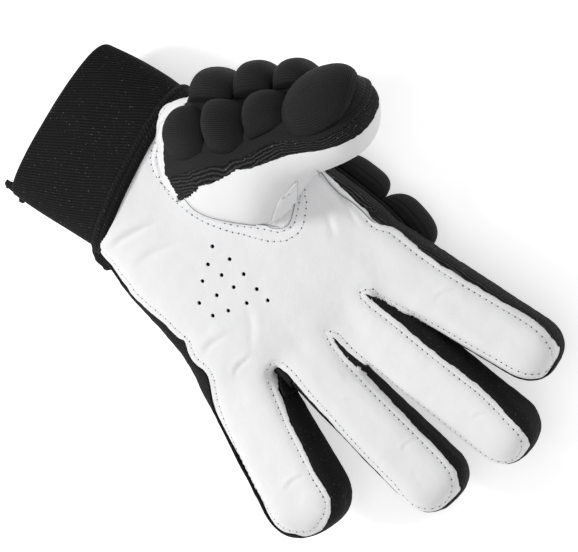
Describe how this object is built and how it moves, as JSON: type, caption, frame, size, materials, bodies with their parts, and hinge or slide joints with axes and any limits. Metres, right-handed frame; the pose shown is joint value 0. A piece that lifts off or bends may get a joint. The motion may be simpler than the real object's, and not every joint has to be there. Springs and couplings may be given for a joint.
{
  "type": "field hockey glove",
  "caption": "Left-hand field hockey glove with leather palm, padded back and thumb, stretch sides and a ribbed elastic cuff, lying palm up",
  "frame": {"origin": "On the flat foot of a foam cell near the middle of the back, where the glove rests on a surface", "axes": "+Y runs from the cuff to the fingertips, +X to the little finger, -X to the thumb, +Z out of the palm"},
  "size_m": [0.173, 0.2412, 0.0854],
  "materials": {
    "leather": "matte",
    "pad": "matte",
    "stretch": "matte",
    "rib": "matte",
    "elastic": "matte"
  },
  "bodies": {
    "root": {"palm_leather": "leather", "thumb_web_gusset": "leather", "thumb_side_gusset": "rib", "little_side_strip": "stretch", "fourchette_index_middle": "stretch", "fourchette_middle_ring": "stretch", "fourchette_ring_little": "stretch", "back_fabric": "stretch", "thumb_rib_gusset": "rib", "thumb_pad_base": "pad", "thumb_leather": "leather", "thumb_cell_front_1": "pad", "thumb_cell_front_2": "pad", "thumb_cell_front_3": "pad", "thumb_cell_rear_1": "pad", "thumb_cell_rear_2": "pad", "thumb_cell_rear_3": "pad", "thumb_cell_tip": "pad", "back_pad_base": "pad", "back_cell_thumb_side_1": "pad", "back_cell_thumb_side_2": "pad", "back_cell_thumb_side_3": "pad", "back_cell_thumb_side_4": "pad", "back_cell_middle_1": "pad", "back_cell_middle_2": "pad", "back_cell_middle_3": "pad", "back_cell_middle_4": "pad", "back_cell_middle_5": "pad", "back_cell_ring_1": "pad", "back_cell_ring_2": "pad", "back_cell_ring_3": "pad", "back_cell_ring_4": "pad", "back_cell_ring_5": "pad", "back_cell_little_side_1": "pad", "back_cell_little_side_2": "pad", "back_cell_little_side_3": "pad", "back_cell_little_side_4": "pad", "cuff_band": "elastic", "cuff_hem": "elastic", "cuff_seam_end_1": "elastic", "cuff_seam_end_2": "elastic", "wrist_tab": "stretch"}
  },
  "joints": []
}
